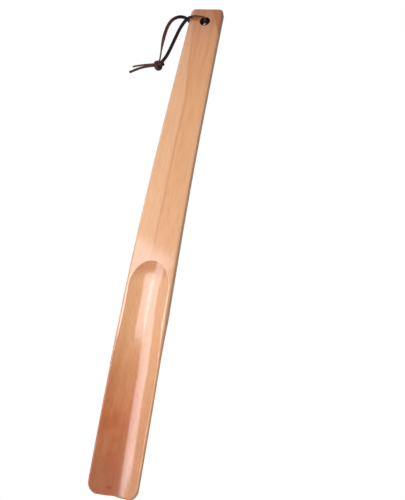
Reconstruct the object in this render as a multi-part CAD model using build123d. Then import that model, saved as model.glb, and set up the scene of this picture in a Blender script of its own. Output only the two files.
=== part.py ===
"""Long wooden shoehorn with a leather hanging lace, in millimetres.

+Z runs up the straight handle, the scooped front faces -Y and X is across. The origin is the
middle of the handle's flat back. The horn is one bowed plank: straight at the handle, bent back
by a long gentle arc, and straight again along the blade, where a scoop is cut into the front and
the back is rounded to match.
"""
from build123d import *
from math import cos, radians, sin, tan
import os

# Plank
thickness = 7.8
handle_straight = 105.0
bow_radius = 1500.0
bow_angle = 8.0
blade_straight = 105.6
top_above_origin = 52.5

# Front outline: half widths at the top end, the two ends of the bow, its middle, and the tip
half_width_top = 14.8
half_width_handle = 16.1
half_width_middle = 17.6
half_width_blade = 18.9
half_width_tip = 19.0
top_corner = 4.0
tip_corner = 8.0
tip_bulge = 1.2
arris = 1.6

# Hole for the lace
hole_radius = 4.6
hole_below_top = 15.0
hole_edge = 0.5

# Scoop: a round cutter drawn up the blade, lifting out of the face in a short steep curve
scoop_radius = 36.0
scoop_tip_depth = 5.5
scoop_head_depth = 3.5
scoop_wide_length = 78.0
scoop_narrow_start = 122.0
scoop_lift_start = 161.3
scoop_lift_angle = 19.0
scoop_lift_radius = 68.0
scoop_easing = 200.0
scoop_rim = 1.2

# Rounded back of the blade, which runs out into the flat back of the handle
back_radius = 38.0
back_below_face = 0.15
back_parallel_length = 105.0
back_runout_angle = 3.2

# Lace: a flat leather thong
thong_width = 3.0
thong_thickness = 1.2
knot_radius = 4.9
knot_depth = 6.4
knot_bevel = 2.2
knot_centre = Vector(-34.0, -4.6, -11.2)

# Routes of the thong's two halves, each from the middle of the hole to the knot, and of its two
# free ends. The front half crosses the face of the handle; the back half goes round behind.
front_route = [
    (-0.6, -3.9, 39.7), (-0.6, -9.6, 39.7), (-6.6, -9.7, 41.8), (-12.4, -9.7, 41.6),
    (-17.0, -9.7, 37.6), (-20.8, -9.2, 28.8), (-23.4, -8.2, 18.2), (-26.0, -6.8, 7.6),
    (-28.3, -5.9, -1.4), (-31.0, -5.6, -7.2),
]
back_route = [
    (-0.6, -3.9, 39.7), (-0.6, 1.9, 39.7), (-6.4, 2.0, 38.6), (-12.2, 2.0, 39.8),
    (-16.4, 2.0, 44.2), (-21.0, 1.2, 49.6), (-27.6, -0.4, 50.0), (-33.2, -2.4, 44.4),
    (-35.6, -3.6, 35.4), (-36.2, -4.2, 25.6), (-36.0, -4.5, 15.8), (-35.4, -4.4, 6.4),
    (-34.9, -4.0, -1.0), (-34.8, -3.6, -6.8),
]
short_end_route = [
    (-38.4, -4.4, -9.8), (-44.6, -4.2, -10.4), (-51.4, -4.2, -11.4), (-58.0, -4.4, -13.4),
]
long_end_route = [
    (-38.2, -4.9, -12.0), (-45.2, -5.3, -13.6), (-52.4, -5.5, -16.4), (-59.4, -5.4, -20.8),
]

arc_length = radians(bow_angle) * bow_radius
plank_length = handle_straight + arc_length + blade_straight
hole_z = top_above_origin - hole_below_top


def plank_point(from_tip, depth=0.0):
    """(y, z) of a point a distance up the front face from the tip, and a depth below that face."""
    from_top = plank_length - from_tip
    bent = min(max(from_top - handle_straight, 0.0), arc_length)
    angle = bent / bow_radius
    before, after = min(from_top, handle_straight), max(from_top - handle_straight - arc_length, 0.0)
    y = -thickness + bow_radius * (1 - cos(angle)) + after * sin(angle) + depth * cos(angle)
    z = top_above_origin - before - bow_radius * sin(angle) - after * cos(angle) + depth * sin(angle)
    return y, z


def side_points(*stations):
    """Points in the side view (the YZ plane) for pairs of distance up the face and depth."""
    return [Vector(0, *plank_point(from_tip, depth)) for from_tip, depth in stations]


def make_outline():
    """Front outline: gently widening sides, a flat top with round corners and a rounded tip."""
    top, tip = top_above_origin, plank_point(0)[1]
    bow_end, bow_middle = blade_straight, blade_straight + arc_length / 2
    stations = [
        (half_width_top, top), (half_width_handle, top - handle_straight),
        (half_width_middle, plank_point(bow_middle)[1]), (half_width_blade, plank_point(bow_end)[1]),
        (half_width_tip, tip),
    ]
    right = [Vector(x, 0, z) for x, z in stations]
    left = [Vector(-x, 0, z) for x, z in reversed(stations)]
    tip_end = ThreePointArc(right[-1], Vector(0, 0, tip - tip_bulge), left[0])
    outline = make_face([Spline(*right), tip_end, Spline(*left), Line(left[-1], right[0])])
    corners = outline.vertices().sort_by(Axis.Z)
    outline = fillet(corners[:2], tip_corner)
    return fillet(outline.vertices().sort_by(Axis.Z)[-2:], top_corner)


def make_plank():
    """The bowed plank, cut to the front outline and with its long edges eased."""
    bow_start, bow_end = blade_straight + arc_length, blade_straight
    stations = (plank_length, bow_start, (bow_start + bow_end) / 2, bow_end, -tip_bulge)
    front = side_points(*[(at, 0) for at in stations])
    back = side_points(*[(at, thickness) for at in stations])
    side = make_face([
        Line(front[0], front[1]), ThreePointArc(*front[1:4]), Line(front[3], front[4]),
        Line(front[4], back[4]), Line(back[4], back[3]), ThreePointArc(*back[3:0:-1]),
        Line(back[1], back[0]), Line(back[0], front[0]),
    ])
    half_band = half_width_tip + 5
    band = extrude(Pos(-half_band, 0, 0) * side, amount=2 * half_band)
    plank = band & extrude(Pos(0, -60, 0) * make_outline(), amount=140, dir=(0, 1, 0))
    # Every edge that runs along the front or the back face is eased; those across the plank's
    # thickness are the corners of the outline and are left alone.
    across = [edge for edge in plank.edges() if abs(edge.length - thickness) < 0.2]
    return fillet([edge for edge in plank.edges() if edge not in across], arris)


def draw_along(section, stations, radii):
    """Sweep a section, drawn in XY with +Y towards the back, along a route in the side view."""
    route = FilletPolyline(*side_points(*stations), radius=radii)
    start = route.position_at(0)
    across = Plane(origin=start, x_dir=(1, 0, 0), z_dir=route.tangent_at(0))
    return sweep(across * section, path=route)


def make_scoop():
    """The cutter for the scoop: a shallow round segment that lifts out of the face at its head."""
    half_chord = half_width_tip + 4
    rise = scoop_radius - (scoop_radius**2 - half_chord**2) ** 0.5
    segment = make_face([
        ThreePointArc((-half_chord, -rise), (0, 0), (half_chord, -rise)),
        Line((half_chord, -rise), (-half_chord, -rise)),
    ])
    beyond = 40.0
    stations = [
        (-12.0, scoop_tip_depth), (scoop_wide_length, scoop_tip_depth),
        (scoop_narrow_start, scoop_head_depth), (scoop_lift_start, scoop_head_depth),
        (scoop_lift_start + beyond, scoop_head_depth - beyond * tan(radians(scoop_lift_angle))),
    ]
    return draw_along(segment, stations, [scoop_easing, scoop_easing, scoop_lift_radius])


def make_back():
    """What the rounded back leaves: a deep U section that drifts back clear of the handle."""
    deep = 60.0
    bowl = make_face([
        ThreePointArc((-back_radius, -back_radius), (0, 0), (back_radius, -back_radius)),
        Polyline((back_radius, -back_radius), (back_radius, -deep), (-back_radius, -deep),
                 (-back_radius, -back_radius)),
    ])
    depth = thickness - back_below_face
    run = plank_length + 15.0 - back_parallel_length
    stations = [
        (-12.0, depth), (back_parallel_length, depth),
        (back_parallel_length + run, depth + run * tan(radians(back_runout_angle))),
    ]
    return draw_along(bowl, stations, [scoop_easing])


def make_horn():
    """The one-piece wooden horn."""
    horn = make_plank() & make_back()
    horn -= make_scoop()
    # The scoop's rim is one smooth line, so easing its highest edge eases it all the way round.
    head_from_tip = scoop_lift_start + scoop_head_depth / tan(radians(scoop_lift_angle))
    head = Vector(0, *plank_point(head_from_tip))
    free_form = horn.edges().filter_by(GeomType.BSPLINE)
    horn = fillet(free_form.sort_by_distance(head)[0], scoop_rim)
    hole = Cylinder(hole_radius, 4 * thickness, rotation=(90, 0, 0))
    horn -= Pos(0, -thickness / 2, hole_z) * hole
    rims = horn.edges().filter_by(GeomType.CIRCLE).filter_by(lambda edge: edge.radius == hole_radius)
    return fillet(rims, hole_edge)


def easy_bends(points):
    """The largest easy radius at each corner of a route: 0.45 of the shorter run beside it."""
    radii = []
    for before, corner, after in zip(points, points[1:], points[2:]):
        into, out = corner - before, after - corner
        shorter = min(into.length, out.length)
        radii.append(0.45 * shorter / tan(radians(into.get_angle(out)) / 2))
    return radii


def make_lace(name, route, width_along):
    """A stretch of the thong: its flat section along straight runs and tangent arcs."""
    points = [Vector(*point) for point in route]
    radii = easy_bends(points)
    path = FilletPolyline(*points, radius=radii)
    across = Plane(origin=path.position_at(0), x_dir=width_along, z_dir=path.tangent_at(0))
    section = across * Rectangle(thong_width, thong_thickness)
    thong = sweep(section, path=path)
    expected = section.area * path.length
    print(name, "radii", [round(radius, 1) for radius in radii], "length", round(path.length, 1),
          "volume", round(thong.volume, 1), "expected", round(expected, 1))
    return thong


def make_knot():
    """The overhand knot that closes the loop, as a plain bevelled lump."""
    lump = extrude(Circle(knot_radius), amount=knot_depth)
    lump = chamfer(lump.edges().filter_by(GeomType.CIRCLE), knot_bevel)
    return Pos(*knot_centre) * Rot(90, 0, 0) * Pos(0, 0, -knot_depth / 2) * lump


pieces = {
    "horn": make_horn(),
    "lace_front_half": make_lace("lace_front_half", front_route, Vector(0, 0, 1)),
    "lace_back_half": make_lace("lace_back_half", back_route, Vector(0, 0, 1)),
    "lace_knot": make_knot(),
    "lace_short_end": make_lace("lace_short_end", short_end_route, Vector(0, 1, 0)),
    "lace_long_end": make_lace("lace_long_end", long_end_route, Vector(0, 1, 0)),
}
os.makedirs("parts", exist_ok=True)
for name, piece in pieces.items():
    piece.label = name
    export_step(piece, f"parts/{name}.step")
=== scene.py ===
"""Looks of a long wooden shoehorn: lacquered wood, and a leather thong knotted through its hole."""
from math import cos, pi, radians, sin

import bpy
from bpy.props import FloatProperty, FloatVectorProperty, IntProperty, PointerProperty
from mathutils import Matrix, Vector


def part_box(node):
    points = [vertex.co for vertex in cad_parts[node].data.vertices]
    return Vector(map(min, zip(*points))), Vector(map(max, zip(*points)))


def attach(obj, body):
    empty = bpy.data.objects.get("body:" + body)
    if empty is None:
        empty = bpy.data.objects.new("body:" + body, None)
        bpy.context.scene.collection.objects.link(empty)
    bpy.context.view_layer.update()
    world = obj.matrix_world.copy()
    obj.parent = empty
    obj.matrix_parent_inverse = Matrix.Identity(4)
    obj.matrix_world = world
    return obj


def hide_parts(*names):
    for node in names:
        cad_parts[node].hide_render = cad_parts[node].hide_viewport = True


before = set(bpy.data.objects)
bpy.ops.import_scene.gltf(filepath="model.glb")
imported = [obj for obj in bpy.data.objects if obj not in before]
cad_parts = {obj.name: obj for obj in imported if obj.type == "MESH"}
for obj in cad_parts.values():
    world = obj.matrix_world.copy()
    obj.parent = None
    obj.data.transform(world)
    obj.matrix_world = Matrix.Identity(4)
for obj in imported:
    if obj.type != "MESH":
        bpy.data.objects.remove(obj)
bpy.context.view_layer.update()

bl_info = {
    "name": "Long Shoehorn",
    "version": (1, 0, 0),
    "blender": (4, 5, 0),
    "location": "View3D > Sidebar > Shoehorn",
    "description": "Builds a long wooden shoehorn with a leather hanging lace",
    "category": "Object",
}

MM = 0.001
HORN_LOW, HORN_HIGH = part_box("horn")
KNOT_LOW, KNOT_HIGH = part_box("lace_knot")
KNOT_CENTRE = (KNOT_LOW + KNOT_HIGH) / 2
# The middle of the lace's hole lies at x = 0 on the handle, at this height above the origin.
HOLE_HEIGHT, HOLE_RADIUS = 37.5 * MM, 4.6 * MM
PIN_KNOT_ACROSS, PIN_KNOT_HEIGHT = -3.8 * MM, -360.5 * MM

CAMERA_PLACE = (0.1376, -0.4154, -0.3534)
CAMERA_TARGET = (0.0059, 0.1259, -0.1305)
CAMERA_ROLL = 10.98  # degrees
FLOOR_HALF = 0.9

# The thong's two halves, in metres, each from the middle of the hole, over its rim, down to and
# through the knot, and on along one of its two free ends. The front half crosses the face of the
# handle; the back half goes round behind it.
FRONT_THONG = [
    (0.0008, -0.0039, 0.0400), (0.0008, -0.0096, 0.0400), (-0.0066, -0.0097, 0.0418),
    (-0.0124, -0.0097, 0.0416), (-0.0170, -0.0097, 0.0376), (-0.0208, -0.0092, 0.0288),
    (-0.0234, -0.0082, 0.0182), (-0.0260, -0.0068, 0.0076), (-0.0283, -0.0059, -0.0014),
    (-0.0310, -0.0056, -0.0072), (-0.0340, -0.0050, -0.0106),
    (-0.0382, -0.0049, -0.0120), (-0.0452, -0.0053, -0.0136), (-0.0524, -0.0055, -0.0164),
    (-0.0594, -0.0054, -0.0208),
]
BACK_THONG = [
    (0.0008, -0.0039, 0.0400), (0.0008, 0.0015, 0.0410), (-0.0064, 0.0020, 0.0402),
    (-0.0122, 0.0020, 0.0398), (-0.0164, 0.0020, 0.0442), (-0.0210, 0.0012, 0.0496),
    (-0.0276, -0.0004, 0.0500), (-0.0332, -0.0024, 0.0444), (-0.0356, -0.0036, 0.0354),
    (-0.0362, -0.0042, 0.0256), (-0.0360, -0.0045, 0.0158), (-0.0354, -0.0044, 0.0064),
    (-0.0349, -0.0040, -0.0010), (-0.0348, -0.0036, -0.0068),
    (-0.0362, -0.0042, -0.0092), (-0.0384, -0.0044, -0.0098), (-0.0446, -0.0042, -0.0104),
    (-0.0514, -0.0042, -0.0114), (-0.0580, -0.0044, -0.0134),
]

# The inputs of the thong's node tree: its sizes, its turns, and where each turn starts and ends,
# from 0 at the hole to 1 at the free end.
THONG_INPUTS = ("Width", "Thickness", "Steps", "Turn at start", "Turn in middle", "Last turn",
                "First turn from", "First turn to", "Last turn from", "Last turn to")
# Where the thong's flat face looks before it is turned.
THONG_FACES = (0.25, -0.75, -0.45)


def linear(hex_colour, alpha=1.0):
    """An sRGB hex colour as the linear RGBA that Blender's sockets take."""
    parts = [int(hex_colour[i:i + 2], 16) / 255 for i in (1, 3, 5)]
    return (*[c / 12.92 if c <= 0.04045 else ((c + 0.055) / 1.055) ** 2.4 for c in parts], alpha)


def add_node(tree, kind, settings=None, **links):
    """Adds a node. settings are its properties. links fill its inputs, by name or as in0, in1, ...,
    each with a value or with another node's output socket."""
    node = tree.nodes.new(kind)
    for name, value in (settings or {}).items():
        setattr(node, name, value)
    for name, value in links.items():
        key = int(name[2:]) if name[:2] == "in" and name[2:].isdigit() else name.replace("_", " ")
        socket = node.inputs[key]
        if isinstance(value, bpy.types.NodeSocket):
            tree.links.new(value, socket)
        else:
            socket.default_value = value
    return node


def calc(tree, operation, *values, kind="ShaderNodeMath"):
    """The number that a Math or Vector Math node gives."""
    inputs = {f"in{i}": value for i, value in enumerate(values)}
    return add_node(tree, kind, {"operation": operation}, **inputs).outputs["Value"]


def rise(tree, value, start, end, low=0.0, high=1.0, shape="SMOOTHSTEP"):
    """A value that goes from low to high while the input goes from start to end."""
    return add_node(tree, "ShaderNodeMapRange", {"interpolation_type": shape}, Value=value, in1=start,
                    in2=end, in3=low, in4=high).outputs["Result"]


def blend(tree, factor, under, over, how="MIX"):
    """One colour laid over another, as strongly as the factor says."""
    return add_node(tree, "ShaderNodeMix", {"data_type": "RGBA", "blend_type": how}, in0=factor,
                    in6=under, in7=over).outputs[2]


def ramp(tree, factor, *stops):
    """A colour ramp's output, from (position, hex colour) pairs."""
    node = add_node(tree, "ShaderNodeValToRGB", Fac=factor)
    elements = node.color_ramp.elements
    while len(elements) < len(stops):
        elements.new(1.0)
    for element, (position, colour) in zip(elements, stops):
        element.position, element.color = position, linear(colour)
    return node.outputs["Color"]


def add_object(name, data):
    """A new object of the scene, at the origin."""
    made = bpy.data.objects.new(name, data)
    bpy.context.scene.collection.objects.link(made)
    return made


def aimed(place, target, roll):
    """The matrix that looks from a place at a target, rolled by an angle in degrees."""
    look = (Vector(target) - Vector(place)).to_track_quat("-Z", "Y").to_matrix().to_4x4()
    return Matrix.Translation(place) @ look @ Matrix.Rotation(radians(roll), 4, "Z")


def new_material(name):
    """A material with its node tree and its Principled shader."""
    material = bpy.data.materials.new(name)
    material.use_nodes = True
    tree = material.node_tree
    tree.nodes.clear()
    shader = add_node(tree, "ShaderNodeBsdfPrincipled")
    add_node(tree, "ShaderNodeOutputMaterial", Surface=shader.outputs["BSDF"])
    return material, tree, shader


class HornSettings(bpy.types.PropertyGroup):
    """The wood of the horn and its lacquer."""
    grain_slope: FloatProperty(name="Grain slope", description="Lean of the grain across the board",
                               default=radians(-1.5), unit="ROTATION")
    figure_width: FloatProperty(name="Figure width", description="Width of the broad bands",
                                default=7 * MM, unit="LENGTH")
    fibre_width: FloatProperty(name="Fibre width", description="Width of the fine grain lines",
                               default=0.7 * MM, unit="LENGTH")
    pale: FloatVectorProperty(name="Pale wood", description="Colour of the light bands",
                              default=linear("#E0B48C"), size=4, subtype="COLOR", min=0, max=1)
    lacquer_roughness: FloatProperty(name="Lacquer roughness", default=0.11, min=0, max=1,
                                     description="0 is a mirror finish, 0.4 a satin one")


class LaceSettings(bpy.types.PropertyGroup):
    """The leather thong and its knot."""
    width: FloatProperty(name="Width", description="Width of the flat thong", default=3.0 * MM,
                         unit="LENGTH")
    thickness: FloatProperty(name="Thickness", description="Thickness of the thong",
                             default=1.2 * MM, unit="LENGTH")
    steps: IntProperty(name="Steps", description="Sections along each half", default=220, min=20)
    edge: FloatVectorProperty(name="Cut edges", description="Colour of the thong's cut edges",
                              default=linear("#5A2A1E"), size=4, subtype="COLOR", min=0, max=1)
    # Painted sheen: the lighter brown laid on the knot and the free ends in place of their highlights.
    painted_sheen: FloatVectorProperty(name="Painted sheen on leather", description="Colour of the knot and the ends",
                                default=linear("#53301F"), size=4, subtype="COLOR", min=0, max=1)


class StageSettings(bpy.types.PropertyGroup):
    """Camera, floor and lights."""
    lens: FloatProperty(name="Lens", description="Focal length on a 36 mm long frame, in mm",
                        default=43.2, min=10, max=200)
    floor_drop: FloatProperty(name="Floor drop", description="Gap between the tip and the floor",
                              default=160 * MM, unit="LENGTH")
    key_power: FloatProperty(name="Key power", description="Power of the high softbox, in watts",
                             default=6)
    gloss_power: FloatProperty(name="Gloss power", description="Power of the low softbox, in watts",
                               default=2.1)


def thong_tree(material):
    """Geometry Nodes: a flat thong along a curve. Its face looks forwards, turned by an angle that
    eases from the first value to the middle one, and from there by the last one."""
    tree = bpy.data.node_groups.new("thong_along_route", "GeometryNodeTree")
    tree.interface.new_socket("Geometry", in_out="INPUT", socket_type="NodeSocketGeometry")
    tree.interface.new_socket("Geometry", in_out="OUTPUT", socket_type="NodeSocketGeometry")
    for name in THONG_INPUTS:
        kind = "NodeSocketInt" if name == "Steps" else "NodeSocketFloat"
        tree.interface.new_socket(name, in_out="INPUT", socket_type=kind)
    given = add_node(tree, "NodeGroupInput").outputs
    route = add_node(tree, "GeometryNodeResampleCurve", in0=given["Geometry"], Count=given["Steps"])
    along = add_node(tree, "GeometryNodeSplineParameter").outputs["Factor"]
    first = rise(tree, along, given["First turn from"], given["First turn to"], given["Turn at start"],
                 given["Turn in middle"])
    last = rise(tree, along, given["Last turn from"], given["Last turn to"], 0.0, given["Last turn"])
    turn = calc(tree, "ADD", first, last)
    ahead = add_node(tree, "GeometryNodeInputTangent").outputs[0]
    side = add_node(tree, "ShaderNodeVectorMath", {"operation": "CROSS_PRODUCT"}, in0=ahead,
                    in1=THONG_FACES).outputs[0]
    facing = add_node(tree, "ShaderNodeVectorRotate", {"rotation_type": "AXIS_ANGLE"}, Vector=side,
                      Axis=ahead, Angle=turn).outputs[0]
    turned = add_node(tree, "GeometryNodeSetCurveNormal", {"mode": "FREE"}, Curve=route.outputs[0],
                      Normal=facing)
    flat = add_node(tree, "GeometryNodeCurvePrimitiveQuadrilateral", Width=given["Width"],
                    Height=given["Thickness"])
    eased = add_node(tree, "GeometryNodeFilletCurve", {"mode": "POLY"}, Curve=flat.outputs[0],
                     Radius=calc(tree, "MULTIPLY", given["Thickness"], 0.3), Count=3)
    across = add_node(tree, "ShaderNodeSeparateXYZ",
                      Vector=add_node(tree, "GeometryNodeInputPosition").outputs[0]).outputs["X"]
    cut = rise(tree, calc(tree, "DIVIDE", calc(tree, "ABSOLUTE", across), given["Width"]), 0.38, 0.48)
    marked = add_node(tree, "GeometryNodeStoreNamedAttribute", {"data_type": "FLOAT", "domain": "POINT"},
                      Geometry=eased.outputs[0], Name="cut_edge", Value=cut)
    skin = add_node(tree, "GeometryNodeCurveToMesh", Curve=turned.outputs[0], in1=marked.outputs[0],
                    Fill_Caps=True)
    smooth = add_node(tree, "GeometryNodeSetShadeSmooth", in0=skin.outputs[0])
    painted = add_node(tree, "GeometryNodeSetMaterial", in0=smooth.outputs[0], Material=material)
    plain = add_node(tree, "GeometryNodeRealizeInstances", in0=painted.outputs[0])
    add_node(tree, "NodeGroupOutput", in0=plain.outputs[0])
    return tree


def nurbs_route(name, points):
    """A curve object of one open NURBS spline through the route's control points."""
    curve = bpy.data.curves.new(name, "CURVE")
    curve.dimensions = "3D"
    spline = curve.splines.new("NURBS")
    spline.points.add(len(points) - 1)
    for point, place in zip(spline.points, points):
        point.co = (*place, 1.0)
    spline.order_u = 3
    spline.use_endpoint_u = True
    curve.resolution_u = 24
    return add_object(name, curve)


def plain_mesh(source, name):
    """The evaluated shape of an object as a plain mesh object at the origin."""
    depsgraph = bpy.context.evaluated_depsgraph_get()
    mesh = bpy.data.meshes.new_from_object(source.evaluated_get(depsgraph))
    if not mesh.vertices:
        raise RuntimeError(f"{name} came out empty")
    mesh.name = name
    return add_object(name, mesh)


def set_input(modifier, name, value):
    """Sets the named input of a Geometry Nodes modifier, by its socket's identifier."""
    found = [item.identifier for item in modifier.node_group.interface.items_tree
             if item.in_out == "INPUT" and item.name == name]
    if len(found) != 1:
        raise RuntimeError(f"the node tree has {len(found)} inputs named {name}")
    modifier[found[0]] = value


def make_thong(name, points, tree, settings, **turns):
    """One half of the thong as a mesh, and the points of its middle line."""
    route = nurbs_route(name + "_route", points)
    line = plain_mesh(route, name + "_line")
    path = [tuple(vertex.co) for vertex in line.data.vertices]
    modifier = route.modifiers.new("thong", "NODES")
    modifier.node_group = tree
    values = {"Width": settings.width, "Thickness": settings.thickness, "Steps": settings.steps}
    values.update({key.replace("_", " ").capitalize(): value for key, value in turns.items()})
    for key, value in values.items():
        set_input(modifier, key, value)
    thong = plain_mesh(route, name)
    for spare in (line, route):
        bpy.data.objects.remove(spare)
    return thong, path


def leather(settings):
    """Vegetable-tanned leather thong, drum-dyed dark brown and lightly waxed: nearly black on its
    faces, red-brown along its cut edges, with a soft sheen. The knot and the free ends get a painted
    sheen: a lighter brown laid over them in place of their highlights."""
    material, tree, shader = new_material("waxed_leather")
    place = add_node(tree, "ShaderNodeTexCoord").outputs["Object"]
    mottle = add_node(tree, "ShaderNodeTexNoise", Vector=place, Scale=1 / (4 * MM), Detail=3.0)
    face = ramp(tree, mottle.outputs["Fac"], (0.35, "#100404"), (0.55, "#180706"), (0.75, "#260F0B"))
    cut = add_node(tree, "ShaderNodeAttribute", {"attribute_name": "cut_edge"}).outputs["Fac"]
    edged = blend(tree, calc(tree, "MULTIPLY", cut, 0.8), face, settings.edge)
    reach = add_node(tree, "ShaderNodeSeparateXYZ", Vector=place).outputs["X"]
    # Painted sheen: past this reach along X, the knot and the free ends are lightened in place of their
    # highlights.
    painted_sheen = rise(tree, reach, -28 * MM, -36 * MM, 0.0, 0.75)
    colour = blend(tree, painted_sheen, edged, settings.painted_sheen)
    tree.links.new(colour, shader.inputs["Base Color"])
    grain = add_node(tree, "ShaderNodeTexVoronoi", {"feature": "SMOOTH_F1"}, Vector=place,
                     Scale=1 / (0.35 * MM))
    bump = add_node(tree, "ShaderNodeBump", Strength=0.08, Distance=0.05 * MM,
                    Height=grain.outputs["Distance"])
    tree.links.new(bump.outputs["Normal"], shader.inputs["Normal"])
    shader.inputs["Roughness"].default_value = 0.5
    shader.inputs["Specular IOR Level"].default_value = 0.22
    return material


def knot_strap(material):
    """The overhand knot: a doubled thong that follows a trefoil, pulled tight into a small lump."""
    steps, around = 180, 12
    half_width, half_thickness = 1.9 * MM, 1.05 * MM
    depth = 0.62  # how far the strap weaves in and out, as a share of the lump's half depth
    roundness = 0.7  # 1 is an oval strap, and 0 a square-edged one
    reach = (KNOT_HIGH - KNOT_LOW) / 2 - Vector((1, 1, 1)) * half_thickness * 0.75

    def middle(turn):
        return Vector((
            reach.x * (sin(turn) + 2 * sin(2 * turn)) / 3,
            -reach.y * depth * sin(3 * turn),
            reach.z * (cos(turn) - 2 * cos(2 * turn)) / 3,
        ))

    vertices, faces = [], []
    for i in range(steps):
        turn = 2 * pi * i / steps
        here = middle(turn)
        ahead = (middle(turn + 0.01) - middle(turn - 0.01)).normalized()
        outward = Vector((here.x, 1.7 * here.y, here.z))
        outward = (outward - ahead * outward.dot(ahead)).normalized()
        side = ahead.cross(outward)
        for j in range(around):
            angle = 2 * pi * j / around
            c, s = cos(angle), sin(angle)
            wide = half_width * abs(c) ** roundness * (1 if c > 0 else -1)
            thick = half_thickness * abs(s) ** roundness * (1 if s > 0 else -1)
            vertices.append(KNOT_CENTRE + here + side * wide + outward * thick)
        for j in range(around):
            k, m = (j + 1) % around, (i + 1) % steps
            faces.append((i * around + j, i * around + k, m * around + k, m * around + j))
    mesh = bpy.data.meshes.new("lace_overhand_knot")
    mesh.from_pydata(vertices, [], faces)
    mesh.materials.append(material)
    mesh.polygons.foreach_set("use_smooth", [True] * len(mesh.polygons))
    mesh.update()
    return add_object("lace_overhand_knot", mesh)


class SHOEHORN_OT_lace(bpy.types.Operator):
    """Makes the leather thong: two halves through the hole, and the knot that joins them"""
    bl_idname = "shoehorn.lace"
    bl_label = "Lace"

    def execute(self, context):
        settings = context.scene.shoehorn_lace
        material = leather(settings)
        tree = thong_tree(material)
        knot = knot_strap(material)
        front, front_path = make_thong(
            "lace_front_thong", FRONT_THONG, tree, settings, turn_at_start=radians(70),
            turn_in_middle=0.0, last_turn=radians(-72), first_turn_from=0.14, first_turn_to=0.26,
            last_turn_from=0.66, last_turn_to=0.8)
        back, back_path = make_thong(
            "lace_back_thong", BACK_THONG, tree, settings, turn_at_start=0.0,
            turn_in_middle=radians(82), last_turn=radians(-10), first_turn_from=0.5,
            first_turn_to=0.72, last_turn_from=0.74, last_turn_to=0.86)
        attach(knot, "lace")
        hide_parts("lace_knot")
        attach(front, "lace")
        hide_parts("lace_front_half", "lace_long_end")
        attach(back, "lace")
        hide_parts("lace_back_half", "lace_short_end")
        return {"FINISHED"}


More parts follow.
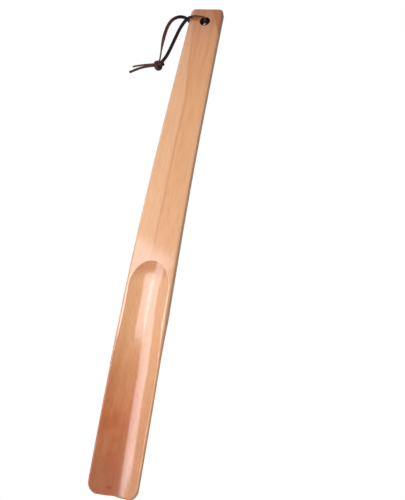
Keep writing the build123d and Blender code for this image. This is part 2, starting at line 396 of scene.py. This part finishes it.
def lacquered_beech(settings):
    """Beech, planed and sanded, under a clear gloss lacquer. The board is cut so that a paler band
    of straight grain runs down one side, the end round the hole shows slanting grain, and the colour
    is redder and cloudier towards the tip, where a small pin knot shows. Painted light and shade are
    laid into the colour as well: the scoop's right wall paler, its left side near the tip and its
    head darker, and the wall of the hole nearly black."""
    material, tree, shader = new_material("lacquered_beech")
    place = add_node(tree, "ShaderNodeTexCoord").outputs["Object"]
    axes = add_node(tree, "ShaderNodeSeparateXYZ", Vector=place).outputs
    x, z = axes["X"], axes["Z"]
    drawn_out = add_node(tree, "ShaderNodeMapping", {"vector_type": "POINT"}, Vector=place,
                         Rotation=(0, settings.grain_slope, 0), Scale=(1.0, 1.0, 0.03)).outputs[0]
    figure = add_node(tree, "ShaderNodeTexNoise", Vector=drawn_out, Scale=1 / settings.figure_width,
                      Detail=2.0, Distortion=0.4).outputs["Fac"]
    fibre = add_node(tree, "ShaderNodeTexNoise", Vector=drawn_out, Scale=1 / settings.fibre_width,
                     Detail=3.0).outputs["Fac"]

    # Tone along the length, from the tip to the end of the handle.
    length = rise(tree, z, HORN_LOW.z, HORN_HIGH.z, shape="LINEAR")
    wood = ramp(tree, length, (0.0, "#944008"), (0.13, "#B86830"), (0.30, "#D79C6A"), (0.50, "#DDA676"),
                (0.75, "#DAA06E"), (0.90, "#CA8856"), (1.0, "#A2602F"))
    # Painted light: the scoop's right wall, which faces the light, is made paler below the scoop's head.
    painted_light_side = calc(tree, "MULTIPLY", rise(tree, x, 1 * MM, 9 * MM), rise(tree, z, -180 * MM, -260 * MM))
    wood = blend(tree, calc(tree, "MULTIPLY", painted_light_side, 0.6), wood, linear("#E0AC80"))
    # Broad bands of figure.
    plain = calc(tree, "MULTIPLY", rise(tree, z, -330 * MM, -170 * MM, 0.1, 0.33),
                 rise(tree, z, 52 * MM, 15 * MM, 0.3, 1.0))
    wood = blend(tree, calc(tree, "MULTIPLY", plain, rise(tree, figure, 0.35, 0.65)), wood, settings.pale)
    # The paler band down one side, and the fine dark line along its boundary.
    boundary = rise(tree, z, 50 * MM, -50 * MM, -12 * MM, -2.4 * MM, "LINEAR")
    wander = calc(tree, "MULTIPLY_ADD", figure, 2.4 * MM, calc(tree, "SUBTRACT", x, boundary))
    past = calc(tree, "SUBTRACT", wander, 1.2 * MM)
    flat_part = rise(tree, z, -205 * MM, -165 * MM, 0.15, 1.0)
    side = calc(tree, "MULTIPLY", flat_part, rise(tree, past, 0.4 * MM, -0.8 * MM, 0.0, 0.24))
    wood = blend(tree, side, wood, linear("#EBC6A2"))
    line = calc(tree, "MULTIPLY", rise(tree, past, -0.4 * MM, 0.4 * MM), rise(tree, past, 3 * MM, 0.5 * MM))
    wood = blend(tree, calc(tree, "MULTIPLY", line, calc(tree, "MULTIPLY", flat_part, 0.35)), wood,
                 linear("#BE8153"))
    # Slanting grain at one corner of the handle's end.
    lean, line_spacing = 0.356, 5.712 * MM
    slant = calc(tree, "MULTIPLY_ADD", z, lean, calc(tree, "SUBTRACT", x, 23.2 * MM))
    wave = calc(tree, "SINE", calc(tree, "MULTIPLY", slant, 2 * pi / line_spacing))
    corner = calc(tree, "MULTIPLY", rise(tree, slant, -0.6 * MM, 0.8 * MM),
                  rise(tree, wave, -2.0, 1.0, 0.35, 0.75))
    wood = blend(tree, corner, wood, linear("#A5602F"))
    # Clouds of redder wood towards the tip, heavier on the scoop's left side, where they also paint the
    # shade of its left wall; and the pin knot.
    clouds = add_node(tree, "ShaderNodeTexNoise", Scale=1 / (14 * MM), Detail=3.0, Distortion=0.6,
                      Vector=add_node(tree, "ShaderNodeMapping", Vector=place,
                                      Scale=(1.0, 1.0, 0.4)).outputs[0]).outputs["Fac"]
    # Painted shade: the clouds are at full strength on the scoop's left and at a quarter of it on the
    # right.
    low = calc(tree, "MULTIPLY", rise(tree, z, -250 * MM, -335 * MM),
               rise(tree, x, 8 * MM, -6 * MM, 0.25, 1.0))
    wood = blend(tree, calc(tree, "MULTIPLY", low, rise(tree, clouds, 0.38, 0.62, 0.1, 0.6)), wood,
                 linear("#9C4A18"))
    pin_squash = 1.5
    flat = add_node(tree, "ShaderNodeCombineXYZ", X=x, Z=calc(tree, "MULTIPLY", z, pin_squash)).outputs[0]
    pin = calc(tree, "DISTANCE", flat, (PIN_KNOT_ACROSS, 0, PIN_KNOT_HEIGHT * pin_squash),
               kind="ShaderNodeVectorMath")
    wood = blend(tree, rise(tree, pin, 3.2 * MM, 0.8 * MM, 0.0, 0.8), wood, linear("#8A3002"))
    # End grain drinks more lacquer and looks darker: at both ends, and where the scoop's head cuts
    # across the fibres. At the scoop's head the same darkening is also painted shade, on the upper wall
    # that faces down.
    normal = add_node(tree, "ShaderNodeTexCoord").outputs["Normal"]
    across = calc(tree, "ABSOLUTE", add_node(tree, "ShaderNodeSeparateXYZ", Vector=normal).outputs["Z"])
    wood = blend(tree, rise(tree, across, 0.16, 0.36, 0.0, 0.6), wood, linear("#B0682F"))
    # Fine fibres over everything.
    wood = blend(tree, 0.16, wood, ramp(tree, fibre, (0.32, "#9A5F38"), (0.6, "#FFFFFF")), "MULTIPLY")
    # Painted shade: the wall of the hole is made nearly black, standing in for the shade inside it.
    level = add_node(tree, "ShaderNodeCombineXYZ", X=x, Z=z).outputs[0]
    bore = calc(tree, "DISTANCE", level, (0, 0, HOLE_HEIGHT), kind="ShaderNodeVectorMath")
    wood = blend(tree, rise(tree, bore, HOLE_RADIUS + 0.4 * MM, HOLE_RADIUS + 0.05 * MM), wood,
                 linear("#120806"))
    tree.links.new(wood, shader.inputs["Base Color"])
    shader.inputs["Roughness"].default_value = 0.42
    shader.inputs["Specular IOR Level"].default_value = 0.2
    shader.inputs["Coat Weight"].default_value = 1.0
    shader.inputs["Coat Roughness"].default_value = settings.lacquer_roughness
    shader.inputs["Coat IOR"].default_value = 1.5
    return material


class SHOEHORN_OT_horn(bpy.types.Operator):
    """Gives the wooden horn its lacquered wood"""
    bl_idname = "shoehorn.horn"
    bl_label = "Horn"

    def execute(self, context):
        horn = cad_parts["horn"]
        horn.data.materials.clear()
        horn.data.materials.append(lacquered_beech(context.scene.shoehorn_horn))
        return {"FINISHED"}


def softbox(name, place, target, size, power, colour=(1, 1, 1), roll=0.0):
    """A rectangular studio softbox that faces a point, seen by reflections and not by the camera."""
    light = bpy.data.lights.new(name, "AREA")
    light.shape = "RECTANGLE"
    light.size, light.size_y = size
    light.energy, light.color = power, colour
    lamp = add_object(name, light)
    lamp.matrix_world = aimed(place, target, roll)
    lamp.visible_camera = False


class SHOEHORN_OT_stage(bpy.types.Operator):
    """Sets up the camera, the pale floor and the soft studio lights"""
    bl_idname = "shoehorn.stage"
    bl_label = "Stage"

    def execute(self, context):
        settings = context.scene.shoehorn_stage
        scene = context.scene
        camera = bpy.data.cameras.new("camera")
        camera.lens = settings.lens
        scene.camera = add_object("camera", camera)
        scene.camera.matrix_world = aimed(CAMERA_PLACE, CAMERA_TARGET, CAMERA_ROLL)

        world = bpy.data.worlds.new("studio")
        world.use_nodes = True
        tree = world.node_tree
        tree.nodes.clear()
        # The studio's white backdrop shows, and its light on the object is a softer fill.
        seen = add_node(tree, "ShaderNodeLightPath").outputs["Is Camera Ray"]
        strength = add_node(tree, "ShaderNodeMapRange", Value=seen, in3=0.25, in4=1.0)
        sky = add_node(tree, "ShaderNodeBackground", Color=linear("#FFFFFF"), Strength=strength.outputs[0])
        add_node(tree, "ShaderNodeOutputWorld", Surface=sky.outputs[0])
        scene.world = world
        scene.view_settings.view_transform = "Standard"

        # Two small, slightly cool softboxes low in front give the gloss: a long one down the scoop,
        # and a weaker one on the face above its head. A large one high at the left gives most of the
        # light, one behind lights the back, and one at the right fills the shadows.
        cool = linear("#F2F2FF")[:3]
        softbox("gloss", (-0.32, -0.49, -0.28), (0, 0, -0.25), (0.22, 0.54),
                settings.gloss_power, cool, roll=-24)
        softbox("gloss_wing", (-0.145, -0.58, -0.245), (0, 0, -0.24), (0.23, 0.19),
                settings.gloss_power * 0.4, cool)
        softbox("key", (-1.0, -0.8, 0.9), (0, 0, -0.15), (1.4, 1.4), settings.key_power)
        softbox("back", (-0.45, 1.3, 0.35), (0, 0, -0.15), (1.0, 1.0), settings.key_power * 1.4)
        softbox("fill", (0.95, -0.85, 0.45), (0, 0, -0.2), (1.0, 1.0), settings.key_power * 0.8)

        # A sheet of matt backdrop paper, lifted by a little glow so that it stays pale.
        level = HORN_LOW.z - settings.floor_drop
        mesh = bpy.data.meshes.new("floor")
        mesh.from_pydata([(x * FLOOR_HALF, y * FLOOR_HALF, level)
                          for x, y in ((-1, -1), (1, -1), (1, 1), (-1, 1))], [], [(0, 1, 2, 3)])
        floor = add_object("floor", mesh)
        paper, _, shader = new_material("backdrop_paper")
        shader.inputs["Base Color"].default_value = linear("#E6E3DC")
        shader.inputs["Roughness"].default_value = 0.9
        shader.inputs["Emission Color"].default_value = linear("#FFFFFF")
        shader.inputs["Emission Strength"].default_value = 0.15
        mesh.materials.append(paper)
        return {"FINISHED"}


class SHOEHORN_PT_panel(bpy.types.Panel):
    """Lists the steps that build the shoehorn"""
    bl_idname = "SHOEHORN_PT_panel"
    bl_label = "Long Shoehorn"
    bl_space_type = "VIEW_3D"
    bl_region_type = "UI"
    bl_category = "Shoehorn"

    def draw(self, context):
        for operator in STEPS:
            self.layout.operator(operator.bl_idname)


STEPS = [SHOEHORN_OT_stage, SHOEHORN_OT_lace, SHOEHORN_OT_horn]
CLASSES = [HornSettings, LaceSettings, StageSettings, *STEPS, SHOEHORN_PT_panel]


def register():
    for cls in CLASSES:
        bpy.utils.register_class(cls)
    bpy.types.Scene.shoehorn_horn = PointerProperty(type=HornSettings)
    bpy.types.Scene.shoehorn_lace = PointerProperty(type=LaceSettings)
    bpy.types.Scene.shoehorn_stage = PointerProperty(type=StageSettings)


def unregister():
    for name in ("shoehorn_horn", "shoehorn_lace", "shoehorn_stage"):
        delattr(bpy.types.Scene, name)
    for cls in reversed(CLASSES):
        bpy.utils.unregister_class(cls)


def main():
    register()
    bpy.ops.shoehorn.stage()
    bpy.ops.shoehorn.lace()
    bpy.ops.shoehorn.horn()


if __name__ == "__main__":
    main()
